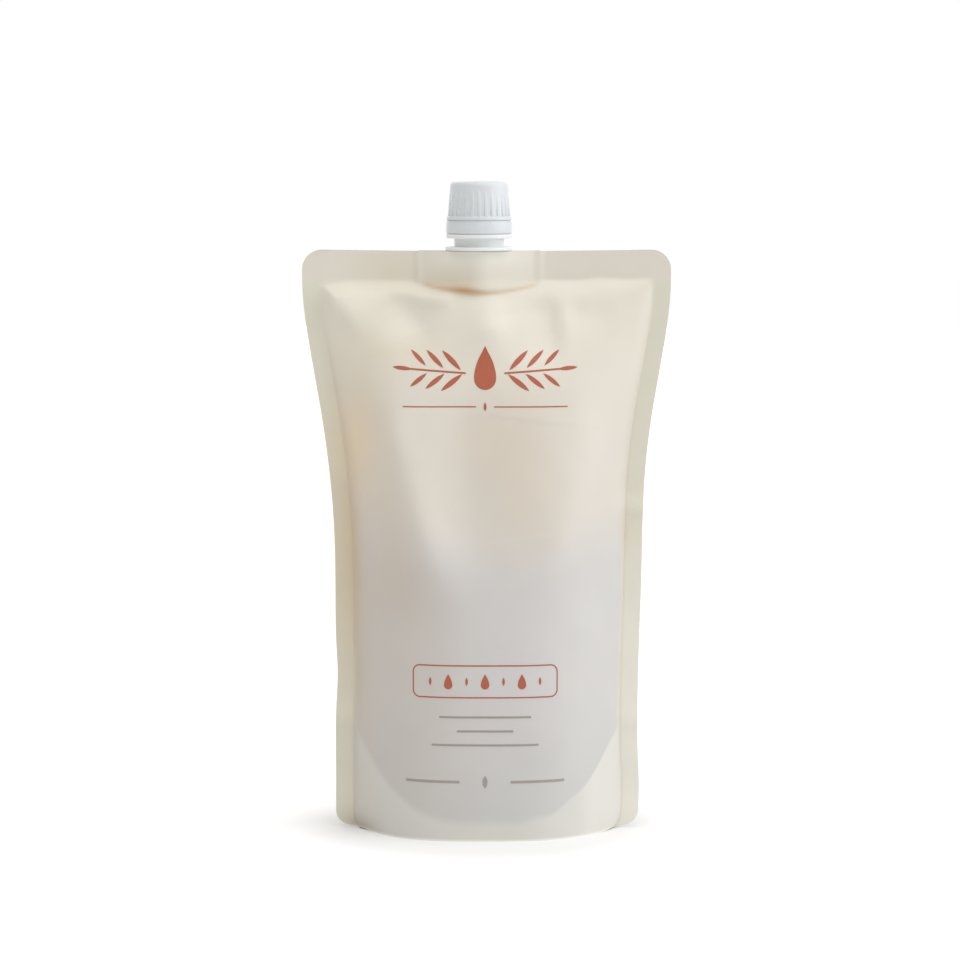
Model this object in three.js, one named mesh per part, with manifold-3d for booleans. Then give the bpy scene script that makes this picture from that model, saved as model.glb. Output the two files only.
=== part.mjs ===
// A stand-up refill pouch for liquid soap, full and standing, with a moulded spout and a ribbed screw cap.
// Millimetres, +Z up. The origin is on the floor under the middle of the pouch, and the front faces -Y.
import * as THREE from "three";
import { mergeVertices } from "three/addons/utils/BufferGeometryUtils.js";
import Module from "manifold-3d";

const wasm = await Module();
wasm.setup();

// The film pouch
const pouchWidth = 145; // laid flat, over the side seals
const pouchHeight = 229.5; // standing full, floor to film edge
const bellyDepth = 31; // from the mid-plane to the front panel
const bellyTop = 95; // above this height the belly closes towards the top seal
const laminate = 0.3; // one film
const sideSeal = 7;
const topSeal = 11.5;
const topCorner = 8;
const bottomCorner = 6;
const cornerLift = 1.2; // how far the bottom corners curl off the floor
const endRise = 0.8; // how far the ends of the top edge stand above its middle

// The bottom gusset, sealed to both panels along a round curve
const sealFoot = 6.7; // height of the curve in the middle of a panel
const gussetHeight = 43; // height at which the curve meets the side seals
const gussetLead = 4; // how far the fold of the gusset stays under that height
const restingHalf = 33; // half the length that lies flat on the floor

// The spout
const spoutOffset = -2.9; // the spout sits a little left of the middle
const boreDiameter = 15;
const neckWall = 1.7;
const neckHeight = 24.3; // mouth above the film edge
const canoeLength = 47.5;
const canoeHeight = 15;
const canoeTipHeight = 11.3;
const canoeTipThickness = 0.9;
const sealRibs = 3;
const ribGroove = 0.4;
const lowerNeckStep = 0.6; // the neck is thicker under the carrying flange
const sealFlangeReach = 3.45;
const sealFlangeThickness = 1.4;
const carryFlangeReach = 3.2;
const carryFlangeThickness = 1.7;
const carryFlangeHeight = 5.1; // its underside above the film edge
const holdBeadReach = 1.5; // the bead that holds the tamper band down
const holdBeadHeight = 1;
const holdBeadRise = 1.6; // from the band's hook up to the bead
const threadPitch = 3;
const threadDepth = 0.95;
const threadRoot = 1.2; // height of a thread at its root
const threadCrest = 0.7;
const neckTurns = 1.25;
const capTurns = 1;
const mouthChamfer = 0.5;

// The tamper band
const bandHeight = 4.3;
const bandWall = 1.95;
const bandHook = 1;
const bandHookHeight = 1;
const bridges = 8;
const bridgeWidth = 0.8;
const bridgeHeight = 0.5;

// The screw cap
const capWall = 0.95;
const gripRibs = 28;
const gripDepth = 0.4;
const capDraft = 0.4; // the skirt is this much wider at its foot
const capBeadReach = 0.6;
const capBeadHeight = 1.5;
const capShoulder = 1.9;
const capPlate = 1.5;
const capLeadIn = 0.4;
const linerThickness = 0.9;
const linerLip = 0.6; // the ring inside the cap that holds the liner in

// Fits
const fitGap = 0.3; // between touching pieces
const turnGap = 0.35; // between the cap and the neck
const filmJacket = 0.5; // film drawn round the canoe
const filmRelease = 5; // beyond the tips of the canoe the two films meet again

const round = 36; // sides of a turned piece

function point(x, y, z) {
  return new THREE.Vector3(x, y, z);
}

function lerp(a, b, t) {
  return a + (b - a) * t;
}

function smooth(t) {
  const s = Math.min(Math.max(t, 0), 1);
  return s * s * (3 - 2 * s);
}

// A solid for cutting and joining, from any closed geometry.
function solidOf(geometry) {
  const bare = new THREE.BufferGeometry();
  bare.setAttribute("position", geometry.getAttribute("position"));
  if (geometry.index) bare.setIndex(geometry.index);
  const merged = mergeVertices(bare, 1e-4);
  return new wasm.Manifold(
    new wasm.Mesh({
      numProp: 3,
      vertProperties: merged.attributes.position.array,
      triVerts: new Uint32Array(merged.index.array),
    }),
  );
}

function geometryOf(solid) {
  const mesh = solid.getMesh();
  const geometry = new THREE.BufferGeometry();
  geometry.setAttribute("position", new THREE.BufferAttribute(mesh.vertProperties, 3));
  geometry.setIndex(new THREE.BufferAttribute(mesh.triVerts, 1));
  const faceted = geometry.toNonIndexed();
  faceted.computeVertexNormals();
  return faceted;
}

// Collects corner points into triangles.
class Faces {
  constructor() {
    this.numbers = [];
  }
  triangle(a, b, c) {
    for (const p of [a, b, c]) this.numbers.push(p.x, p.y, p.z);
  }
  quad(a, b, c, d) {
    this.triangle(a, b, c);
    this.triangle(a, c, d);
  }
  geometry() {
    const made = new THREE.BufferGeometry();
    made.setAttribute("position", new THREE.Float32BufferAttribute(this.numbers, 3));
    return made;
  }
}

// The solid between two sheets of the same grid, closed around the rim. The near sheet faces u cross v.
function betweenSheets(across, up, near, far) {
  const faces = new Faces();
  const a = Array.from({ length: across + 1 }, (_, i) => Array.from({ length: up + 1 }, (_, j) => near(i, j)));
  const b = Array.from({ length: across + 1 }, (_, i) => Array.from({ length: up + 1 }, (_, j) => far(i, j)));
  for (let i = 0; i < across; i++) {
    for (let j = 0; j < up; j++) {
      faces.quad(a[i][j], a[i + 1][j], a[i + 1][j + 1], a[i][j + 1]);
      faces.quad(b[i][j], b[i][j + 1], b[i + 1][j + 1], b[i + 1][j]);
    }
    faces.quad(a[i + 1][0], a[i][0], b[i][0], b[i + 1][0]);
    faces.quad(a[i][up], a[i + 1][up], b[i + 1][up], b[i][up]);
  }
  for (let j = 0; j < up; j++) {
    faces.quad(a[0][j], a[0][j + 1], b[0][j + 1], b[0][j]);
    faces.quad(a[across][j + 1], a[across][j], b[across][j], b[across][j + 1]);
  }
  return faces.geometry();
}

// The solid through a row of closed rings, each turning left as seen from the next, with a cap at both ends.
function throughRings(rings) {
  const faces = new Faces();
  const count = rings[0].length;
  const middle = (ring) => ring.reduce((sum, p) => sum.add(p), point(0, 0, 0)).divideScalar(count);
  const first = middle(rings[0]);
  const last = middle(rings.at(-1));
  for (let i = 0; i < count; i++) {
    const next = (i + 1) % count;
    for (let k = 0; k + 1 < rings.length; k++)
      faces.quad(rings[k][i], rings[k][next], rings[k + 1][next], rings[k + 1][i]);
    faces.triangle(first, rings[0][next], rings[0][i]);
    faces.triangle(last, rings.at(-1)[i], rings.at(-1)[next]);
  }
  return faces.geometry();
}

// A turned solid about the Z axis, from radius and height pairs.
function turned(profile) {
  const points = profile.map(([r, z]) => new THREE.Vector2(r, z));
  return solidOf(new THREE.LatheGeometry(points, round).rotateX(Math.PI / 2));
}

// A screw thread: a ridge with sloping flanks, its ends run out into the wall it stands on.
function thread({ wall, crest, start, turns }) {
  const steps = Math.round(turns * round);
  const rings = [];
  for (let k = 0; k <= steps; k++) {
    const angle = (k / steps) * turns * 2 * Math.PI;
    const runOut = smooth(Math.min(k, steps - k) / (round / 8));
    const tip = lerp(wall + (crest - wall) * 0.1, crest, runOut);
    const z = start + (angle / (2 * Math.PI)) * threadPitch;
    const sunk = wall - Math.sign(crest - wall) * neckWall * 0.15;
    const section = [
      [sunk, z + threadRoot / 2],
      [tip, z + threadCrest / 2],
      [tip, z - threadCrest / 2],
      [sunk, z - threadRoot / 2],
    ];
    if (crest < wall) section.reverse();
    rings.push(section.map(([r, h]) => point(r * Math.cos(angle), r * Math.sin(angle), h)));
  }
  return solidOf(throughRings(rings));
}

// Radii and heights that the spout, band and cap share. Their heights are above the film edge.
const boreRadius = boreDiameter / 2;
const neckRadius = boreRadius + neckWall;
const threadRadius = neckRadius + threadDepth;
const capInner = threadRadius + turnGap;
const capThreadRadius = neckRadius + turnGap;
const skirtTopRadius = capInner + capWall + gripDepth;
const skirtFootRadius = skirtTopRadius + capDraft;
const capBeadRadius = skirtFootRadius + capBeadReach;
const holdBeadRadius = neckRadius + holdBeadReach;
const carryTop = carryFlangeHeight + carryFlangeThickness;
const bandFoot = carryTop + fitGap;
const bandTop = bandFoot + bandHeight;
const bandOuter = capBeadRadius + fitGap / 2;
const bandInner = bandOuter - bandWall;
const hookTop = bandFoot + bandHookHeight * 1.5;
const holdBeadFoot = hookTop + holdBeadRise;
const capFoot = bandTop + bridgeHeight + fitGap;
const linerFoot = neckHeight + fitGap;
const plateFoot = linerFoot + linerThickness + fitGap;
const capTop = plateFoot + capPlate;

// The front and back panels bow out as a curve of power three, so that the film keeps its flat width.
const bowPower = 3;
const sealedHalf = laminate;
const panelHalf = pouchWidth / 2 - sideSeal;

function bowLength(half, depth) {
  const steps = 24;
  let length = 0;
  for (let k = 0; k < steps; k++) {
    const u = (k + 0.5) / steps;
    length += Math.hypot(1, (bowPower * depth * u ** (bowPower - 1)) / half) * (half / steps);
  }
  return length;
}

// Half the span between the side seals where the panel bows out by depth.
function spanHalf(depth) {
  let low = panelHalf * 0.2;
  let high = panelHalf;
  for (let k = 0; k < 40; k++) {
    const half = (low + high) / 2;
    if (bowLength(half, depth) > panelHalf) high = half;
    else low = half;
  }
  return (low + high) / 2;
}

const sealLine = pouchHeight - topSeal;

function depthAt(z) {
  const s = (sealLine - z) / (sealLine - bellyTop);
  return bellyDepth * (1 - (1 - Math.min(Math.max(s, 0), 1)) ** 2.5);
}

// Half the width over the side seals, with the four corners rounded.
function halfWidth(z) {
  const whole = spanHalf(depthAt(z)) + sideSeal;
  const low = Math.max(bottomCorner - z, 0);
  const high = Math.max(z - (pouchHeight - topCorner), 0);
  return (
    whole -
    (bottomCorner - Math.sqrt(bottomCorner ** 2 - low ** 2)) -
    (topCorner - Math.sqrt(Math.max(topCorner ** 2 - high ** 2, 0)))
  );
}

// Soft folds of a panel, standing proud of the bow or sunk into it. Their ends are shares of half the flat
// width and of the height.
const frontFolds = [
  { from: [-0.77, 0.9], to: [-0.33, 0.81], rise: 1.3, spread: 4.5 },
  { from: [-0.52, 0.71], to: [-0.3, 0.49], rise: 1.5, spread: 7 },
  { from: [-0.3, 0.49], to: [-0.07, 0.41], rise: 1.1, spread: 7 },
  { from: [0.3, 0.9], to: [0.32, 0.81], rise: 1.2, spread: 3.5 },
  { from: [0.55, 0.89], to: [0.77, 0.91], rise: -1.6, spread: 4 },
  { from: [0.72, 0.77], to: [0.33, 0.45], rise: 1.2, spread: 7 },
  { from: [-0.03, 0.82], to: [0.03, 0.57], rise: -1.3, spread: 16 },
];
const backFolds = frontFolds.map(({ from, to, rise, spread }) => ({
  from: [-from[0] * 0.9, from[1] - 0.03],
  to: [-to[0] * 0.9, to[1] - 0.03],
  rise,
  spread,
}));

// The highest ridge and the deepest dip that reach x and z.
function foldAt(folds, x, z) {
  const offsets = folds.map(({ from, to, rise, spread }) => {
    const start = [(from[0] * pouchWidth) / 2, from[1] * pouchHeight];
    const run = [(to[0] * pouchWidth) / 2 - start[0], to[1] * pouchHeight - start[1]];
    const along = ((x - start[0]) * run[0] + (z - start[1]) * run[1]) / (run[0] ** 2 + run[1] ** 2);
    const t = Math.min(Math.max(along, 0), 1);
    const away = Math.hypot(x - start[0] - run[0] * t, z - start[1] - run[1] * t);
    return rise * Math.exp(-((away / spread) ** 2));
  });
  return Math.max(...offsets, 0) + Math.min(...offsets, 0);
}

// Half the thickness of the canoe at x: a barrel with two straight fins drawn to its tips.
function canoeHalf(x, grow) {
  const barrel = neckRadius + grow;
  const tip = canoeLength / 2 + grow;
  const touch = Math.acos(barrel / tip);
  const touchX = barrel * Math.cos(touch);
  const reach = Math.abs(x);
  const half =
    reach <= touchX
      ? Math.sqrt(barrel ** 2 - reach ** 2)
      : (barrel * Math.sin(touch) * (tip - reach)) / (tip - touchX);
  return Math.max(half, canoeTipThickness / 2 + grow);
}

// How far the canoe holds the film out. The film comes back to the mid-plane beyond the tips, and below the
// canoe it hangs down into the belly.
function heldOut(x, z) {
  const grow = fitGap + filmJacket;
  const beyond = Math.abs(x - spoutOffset) - canoeLength / 2 - grow;
  const below = pouchHeight - canoeHeight - grow - z;
  const release = (1 - smooth(beyond / filmRelease)) * (1 - smooth(below / (3 * canoeHeight)));
  return canoeHalf(x - spoutOffset, grow) * release;
}

// How far a panel stands from the mid-plane at x and z.
function panelDepth(folds, x, z) {
  const span = spanHalf(depthAt(z));
  const bow = depthAt(z) * Math.max(1 - Math.abs(x / span) ** bowPower, 0);
  const free = sealedHalf + bow + smooth(bow / 8) * foldAt(folds, x, z);
  const held = heldOut(x, z);
  const blend = Math.min(free, held, 3);
  const near = blend > 0 ? Math.max(blend - Math.abs(free - held), 0) / blend : 0;
  return Math.max(free, held) + (near ** 2 * blend) / 4;
}

// The round seal curve of the gusset on a panel.
function sealCurve(x) {
  return sealFoot + (gussetHeight - sealFoot) * Math.abs(x / spanHalf(bellyDepth)) ** 3.1;
}

function pouchBody() {
  const canoeColumns = [-1.03, -0.8, -0.6, -0.4, -0.2, -0.09, 0, 0.09, 0.2, 0.4, 0.6, 0.8, 1.03];
  const besideCanoe = 6;
  const sealColumns = 2;
  const canoe = canoeColumns.map((t) => (spoutOffset + (t * canoeLength) / 2) / panelHalf);
  const left = Array.from({ length: besideCanoe }, (_, k) => lerp(-1, canoe[0], k / besideCanoe));
  const right = Array.from({ length: besideCanoe }, (_, k) => lerp(canoe.at(-1), 1, (k + 1) / besideCanoe));
  const inner = [...left, ...canoe, ...right];
  const across = inner.length - 1 + 2 * sealColumns;

  const canoeFoot = pouchHeight - canoeHeight - fitGap;
  const low = [0, 0.12, 0.3, 0.6, 1].map((t) => t * bottomCorner);
  const belly = [0.25, 0.5, 0.75, 1].map((t) => lerp(bottomCorner, bellyTop, t));
  const upper = Array.from({ length: 14 }, (_, k) => lerp(bellyTop, canoeFoot, (k + 1) / 14));
  const high = [0, 0.3, 0.6, 0.85, 1].map((t) => lerp(pouchHeight - topCorner, pouchHeight, t));
  const heights = [...low, ...belly, ...upper, sealLine, ...high];

  function sheet(side, folds) {
    return (i, j) => {
      const z = heights[j];
      const span = Math.min(spanHalf(depthAt(z)), halfWidth(z) - 0.6);
      const inStrip = Math.max(sealColumns - i, i - sealColumns - inner.length + 1, 0) / sealColumns;
      const x =
        inStrip > 0
          ? Math.sign(i - across / 2) * lerp(span, halfWidth(z), inStrip)
          : span * inner[i - sealColumns];
      const reach = Math.abs(x) / (pouchWidth / 2);
      const curl = cornerLift * smooth((reach - 0.6) / 0.2) * Math.max(1 - z / gussetHeight, 0);
      const lift = curl + endRise * reach ** 2 * smooth((z - bellyTop) / (sealLine - bellyTop));
      const depth = inStrip > 0 ? sealedHalf : panelDepth(folds, x, z);
      return point(x, side * depth, z + lift);
    };
  }
  return solidOf(betweenSheets(across, heights.length - 1, sheet(-1, frontFolds), sheet(1, backFolds)));
}

// The hollow under the pouch: the gusset sags to the floor in the middle and rises to its folds at the sides.
function gussetHollow() {
  const across = 24;
  const rows = [-1, -0.93, -0.84, -0.72, -0.55, -0.3, 0, 0.3, 0.55, 0.72, 0.84, 0.93, 1];
  const span = spanHalf(bellyDepth) * 0.985;
  const fin = 2 * laminate;
  const sag = 1;
  const ridge = (x) => {
    const t = Math.max((Math.abs(x) - restingHalf) / (span - restingHalf), 0);
    return lerp(-sag, gussetHeight - gussetLead, t ** 1.5);
  };
  const xAt = (i) => span * Math.sin((i / across - 0.5) * 2.4) / Math.sin(1.2);
  const yAt = (i, j) => rows[j] * Math.max(panelDepth([], xAt(i), 0) - fin, 0.2);
  const top = (i, j) => {
    const x = xAt(i);
    return point(x, yAt(i, j), lerp(ridge(x), sealCurve(x), rows[j] ** 4));
  };
  const bottom = (i, j) => point(xAt(i), yAt(i, j), -5 * sag);
  return solidOf(betweenSheets(across, rows.length - 1, top, bottom));
}

// The canoe, or with its size grown and its ribs left off, the pocket that it fills.
function canoeBlock({ grow, foot, top, ribbed }) {
  const across = 16;
  const ribs = ribbed ? sealRibs : 0;
  const stops = [0, 1];
  for (let k = 0; k < ribs; k++) {
    const pitch = 0.8 / ribs;
    stops.push(...[0.1, 0.16, 0.44, 0.5].map((t) => 0.1 + (k + t) * pitch));
  }
  stops.sort((a, b) => a - b);
  const tip = canoeLength / 2 + grow;
  const sheet = (side) => (i, j) => {
    const x = tip * Math.sin((i / across - 0.5) * 2.4) / Math.sin(1.2);
    const tall = lerp(canoeTipHeight, canoeHeight, 1 - (x / tip) ** 2);
    const z = lerp(-tall + foot, top, stops[j]);
    const groove = ribs && (j - 1) % 4 > 0 && (j - 1) % 4 < 3 && j > 1 && j < stops.length - 2 ? ribGroove : 0;
    const half = canoeHalf(x, grow) - groove;
    return point(x, side * Math.max(half, canoeTipThickness / 4 + grow), z);
  };
  return solidOf(betweenSheets(across, stops.length - 1, sheet(-1), sheet(1)));
}

function makePouch() {
  const pocket = canoeBlock({ grow: fitGap, foot: -fitGap, top: fitGap * 2, ribbed: false });
  const up = [spoutOffset, 0, pouchHeight];
  return pouchBody().subtract(pocket.translate(up)).subtract(gussetHollow());
}

function makeSpout() {
  const neck = neckRadius;
  const lower = neck + lowerNeckStep;
  const sealFlange = lower + sealFlangeReach;
  const carryFlange = lower + carryFlangeReach;
  const sealTop = fitGap + sealFlangeThickness;
  const rounding = carryFlangeThickness * 0.2;
  const stem = turned([
    [0, -1],
    [neck - 0.1, -1],
    [neck - 0.1, fitGap],
    [sealFlange - rounding, fitGap],
    [sealFlange, fitGap + rounding],
    [sealFlange, sealTop - rounding],
    [sealFlange - rounding, sealTop],
    [lower, sealTop],
    [lower, carryFlangeHeight],
    [carryFlange - rounding, carryFlangeHeight],
    [carryFlange, carryFlangeHeight + rounding],
    [carryFlange, carryTop - rounding],
    [carryFlange - rounding, carryTop],
    [neck, carryTop],
    [neck, holdBeadFoot],
    [holdBeadRadius, holdBeadFoot],
    [holdBeadRadius, holdBeadFoot + holdBeadHeight * 0.3],
    [neck, holdBeadFoot + holdBeadHeight],
    [neck, neckHeight - mouthChamfer],
    [neck - mouthChamfer, neckHeight],
    [0, neckHeight],
  ]);
  const screw = thread({
    wall: neck,
    crest: threadRadius,
    start: neckHeight - mouthChamfer - threadRoot - neckTurns * threadPitch,
    turns: neckTurns,
  });
  const bore = turned([
    [0, -2 * canoeHeight],
    [boreRadius, -2 * canoeHeight],
    [boreRadius, neckHeight + 1],
    [0, neckHeight + 1],
  ]);
  return canoeBlock({ grow: 0, foot: 0, top: fitGap, ribbed: true })
    .add(stem)
    .add(screw)
    .subtract(bore);
}

function makeTamperBand() {
  const hook = bandInner - bandHook;
  const hookFoot = hookTop - bandHookHeight;
  let band = turned([
    [bandInner, bandFoot],
    [bandOuter, bandFoot],
    [bandOuter, bandTop],
    [bandInner, bandTop],
    [bandInner, hookTop + bandHook * 0.3],
    [hook, hookTop],
    [hook, hookFoot],
    [bandInner, bandFoot],
  ]);
  const middle = (bandInner + bandOuter) / 2;
  for (let k = 0; k < bridges; k++) {
    const block = new THREE.BoxGeometry(bandWall * 0.6, bridgeWidth, bridgeHeight * 2);
    block.translate(middle, 0, bandTop).rotateZ(((k + 0.5) / bridges) * 2 * Math.PI);
    band = band.add(solidOf(block));
  }
  return band;
}

// One ring of the cap: ribs stand up to the radius, and the ground between them lies lower by their depth.
function gripRing(radius, depth, z) {
  const stops = [
    [0, depth],
    [0.4, depth],
    [0.52, 0],
    [0.88, 0],
  ];
  const ring = [];
  for (let k = 0; k < gripRibs; k++)
    for (const [t, sunk] of stops) {
      const angle = ((k + t) / gripRibs) * 2 * Math.PI;
      ring.push(point((radius - sunk) * Math.cos(angle), (radius - sunk) * Math.sin(angle), z));
    }
  return ring;
}

function makeScrewCap() {
  const beadTop = capFoot + capBeadHeight;
  const edge = capBeadHeight * 0.25;
  const shoulderFoot = capTop - capShoulder;
  const body = solidOf(
    throughRings([
      gripRing(capBeadRadius - edge, 0, capFoot),
      gripRing(capBeadRadius, 0, capFoot + edge),
      gripRing(capBeadRadius, 0, beadTop - edge),
      gripRing(skirtFootRadius, gripDepth, beadTop),
      gripRing(skirtTopRadius, gripDepth, shoulderFoot),
      gripRing(skirtTopRadius - gripDepth - capShoulder * 0.1, 0, shoulderFoot + capShoulder * 0.5),
      gripRing(skirtTopRadius - gripDepth - capShoulder * 0.35, 0, shoulderFoot + capShoulder * 0.85),
      gripRing(skirtTopRadius - gripDepth - capShoulder * 0.7, 0, capTop),
    ]),
  );
  const lip = capInner - linerLip;
  const hollow = turned([
    [0, capFoot - 1],
    [capInner + capLeadIn, capFoot - 1],
    [capInner + capLeadIn, capFoot + edge],
    [capInner, capFoot + edge + capLeadIn],
    [capInner, linerFoot - linerLip * 2],
    [lip, linerFoot - linerLip * 1.5],
    [lip, linerFoot - linerLip * 0.8],
    [capInner, linerFoot - linerLip * 0.3],
    [capInner, plateFoot],
    [0, plateFoot],
  ]);
  const screw = thread({
    wall: capInner,
    crest: capThreadRadius,
    start: neckHeight - mouthChamfer - threadRoot - (neckTurns + 0.5) * threadPitch,
    turns: capTurns,
  });
  return body.subtract(hollow).add(screw);
}

function makeLiner() {
  const radius = capInner - fitGap;
  return turned([
    [0, linerFoot],
    [radius, linerFoot],
    [radius, linerFoot + linerThickness],
    [0, linerFoot + linerThickness],
  ]);
}

const film = new THREE.MeshStandardMaterial({ color: 0xe6dccb, roughness: 0.45, metalness: 0 });
const spoutPlastic = new THREE.MeshStandardMaterial({ color: 0xe9eae6, roughness: 0.4, metalness: 0 });
const bandPlastic = new THREE.MeshStandardMaterial({ color: 0xeeefec, roughness: 0.38, metalness: 0 });
const capPlastic = new THREE.MeshStandardMaterial({ color: 0xf1f2f0, roughness: 0.35, metalness: 0 });
const linerFoam = new THREE.MeshStandardMaterial({ color: 0xf6f5ef, roughness: 0.7, metalness: 0 });

function piece(name, solid, material) {
  const mesh = new THREE.Mesh(geometryOf(solid), material);
  mesh.name = name;
  return mesh;
}

const fitment = new THREE.Group();
fitment.position.set(spoutOffset, 0, pouchHeight);
fitment.add(
  piece("spout", makeSpout(), spoutPlastic),
  piece("tamper_band", makeTamperBand(), bandPlastic),
  piece("screw_cap", makeScrewCap(), capPlastic),
  piece("cap_liner", makeLiner(), linerFoam),
);

const group = new THREE.Group();
group.add(piece("pouch", makePouch(), film), fitment);

export default group;
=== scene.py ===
# The looks of a full soap refill pouch with its moulded spout, tamper band and screw cap, in a white studio.
# The model is loaded in metres. Sizes below are in millimetres and are turned to metres where a mesh is made.
import bpy
import math
import numpy as np
from mathutils import Matrix, Vector, noise


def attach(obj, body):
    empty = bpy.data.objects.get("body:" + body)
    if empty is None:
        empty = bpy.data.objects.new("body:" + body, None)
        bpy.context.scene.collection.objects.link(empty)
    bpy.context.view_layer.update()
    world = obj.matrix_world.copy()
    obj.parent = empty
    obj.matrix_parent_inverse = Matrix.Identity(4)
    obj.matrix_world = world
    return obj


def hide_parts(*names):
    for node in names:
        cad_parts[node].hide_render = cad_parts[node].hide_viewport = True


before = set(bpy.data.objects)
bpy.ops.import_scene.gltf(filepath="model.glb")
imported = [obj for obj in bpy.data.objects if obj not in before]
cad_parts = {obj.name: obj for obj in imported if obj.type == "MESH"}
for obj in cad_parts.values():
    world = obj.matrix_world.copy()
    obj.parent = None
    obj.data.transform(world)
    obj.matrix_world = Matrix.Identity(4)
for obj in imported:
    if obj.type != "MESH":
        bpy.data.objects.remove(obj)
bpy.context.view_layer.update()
scene = bpy.context.scene
scene.view_settings.view_transform = "Standard"
mm = 0.001


# Small helpers

def srgb(code):  # a hex colour as it looks on screen, turned to the linear one that a shader reads
    channels = [int(code[i:i + 2], 16) / 255 for i in (0, 2, 4)]
    return (*[c / 12.92 if c <= 0.04045 else ((c + 0.055) / 1.055) ** 2.4 for c in channels], 1)


def addNode(tree, kind, options=None, inputs=None):  # an input takes a value, or another node's output
    node = tree.nodes.new("ShaderNode" + kind)
    for name, value in (options or {}).items():
        setattr(node, name, value)
    for name, value in (inputs or {}).items():
        if isinstance(value, bpy.types.NodeSocket):
            tree.links.new(value, node.inputs[name])
        else:
            node.inputs[name].default_value = value
    return node


noiseSpan = {"From Min": 0.3, "From Max": 0.7}  # nearly all that a noise texture gives lies in this range


def newMaterial(name):  # an empty node material, and its output
    material = bpy.data.materials.new(name)
    material.use_nodes = True
    tree = material.node_tree
    tree.nodes.clear()
    return material, tree, tree.nodes.new("ShaderNodeOutputMaterial")


def deselect():
    if bpy.context.object and bpy.context.object.mode != "OBJECT":
        bpy.ops.object.mode_set(mode="OBJECT")
    bpy.ops.object.select_all(action="DESELECT")


def activate(piece):
    deselect()
    piece.select_set(True)
    bpy.context.view_layer.objects.active = piece


def joined(name, pieces):
    deselect()
    for piece in pieces:
        piece.select_set(True)
    bpy.context.view_layer.objects.active = pieces[0]
    if len(pieces) > 1:
        bpy.ops.object.join()
    pieces[0].name = pieces[0].data.name = name
    return pieces[0]


def finishMesh(piece, merge=0.002, angle=35):  # doubles merged, faces turned outwards, soft faces smoothed
    activate(piece)
    bpy.ops.object.transform_apply(location=True, rotation=True, scale=True)
    bpy.ops.object.mode_set(mode="EDIT")
    bpy.ops.mesh.select_all(action="SELECT")
    bpy.ops.mesh.remove_doubles(threshold=merge * mm)
    bpy.ops.mesh.dissolve_degenerate(threshold=1e-7)
    bpy.ops.mesh.normals_make_consistent(inside=False)
    bpy.ops.object.mode_set(mode="OBJECT")
    bpy.ops.object.shade_smooth_by_angle(angle=math.radians(angle))


def closeHoles(piece):  # seams welded, and a face put over each open end
    activate(piece)
    bpy.ops.object.mode_set(mode="EDIT")
    bpy.ops.mesh.select_all(action="SELECT")
    bpy.ops.mesh.remove_doubles(threshold=0.001 * mm)
    bpy.ops.mesh.select_mode(type="EDGE")
    bpy.ops.mesh.select_all(action="DESELECT")
    bpy.ops.mesh.select_non_manifold()
    bpy.ops.mesh.edge_face_add()
    bpy.ops.mesh.select_mode(type="VERT")
    bpy.ops.mesh.select_all(action="SELECT")
    bpy.ops.mesh.normals_make_consistent(inside=False)
    bpy.ops.object.mode_set(mode="OBJECT")


def applyModifier(piece, kind, **settings):
    activate(piece)
    modifier = piece.modifiers.new(kind.lower(), kind)
    for name, value in settings.items():
        setattr(modifier, name, value)
    bpy.ops.object.modifier_apply(modifier=modifier.name)


def dress(piece, material, body, node):
    piece.data.materials.clear()
    piece.data.materials.append(material)
    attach(piece, body)
    if node:
        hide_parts(node)


def smooth(t):
    s = np.clip(t, 0, 1)
    return s * s * (3 - 2 * s)


def bell(t):
    return np.exp(-t ** 2)


def lerp(a, b, t):
    return a + (b - a) * t


# Camera, floor and lamps

studio = {
    "cameraPlace": (-2.57, -1500, 275),  # a metre and a half away, just above the cap, looking a little down
    "cameraAim": (-2.57, 0, 139.05),
    "lens": 142.8,
    "background": 1.0,
    "ambient": ((1.0, 0.98, 0.95, 1), 0.46),
    "floorWhite": "F4F4F4",
    "floorRadius": 4000,
    "floorGlow": ((53, 0.02), (88, 0.2)),  # painted light: a glow by distance from the middle, seen by the camera only, which whitens the outer part of the shadow
    "lamps": {
        "keyRight": {"from": (0.93, -0.17, 0.33), "strength": 1.42, "spread": 60, "colour": (0.95, 0.98, 1.0)},
        "topFront": {"from": (0.0, -0.37, 0.93), "strength": 1.3, "spread": 70, "colour": (1, 1, 1)},
        "backTop": {"from": (-0.1, 0.9, 0.45), "strength": 0.5, "spread": 90, "colour": (1, 1, 1)},
    },
}


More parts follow.
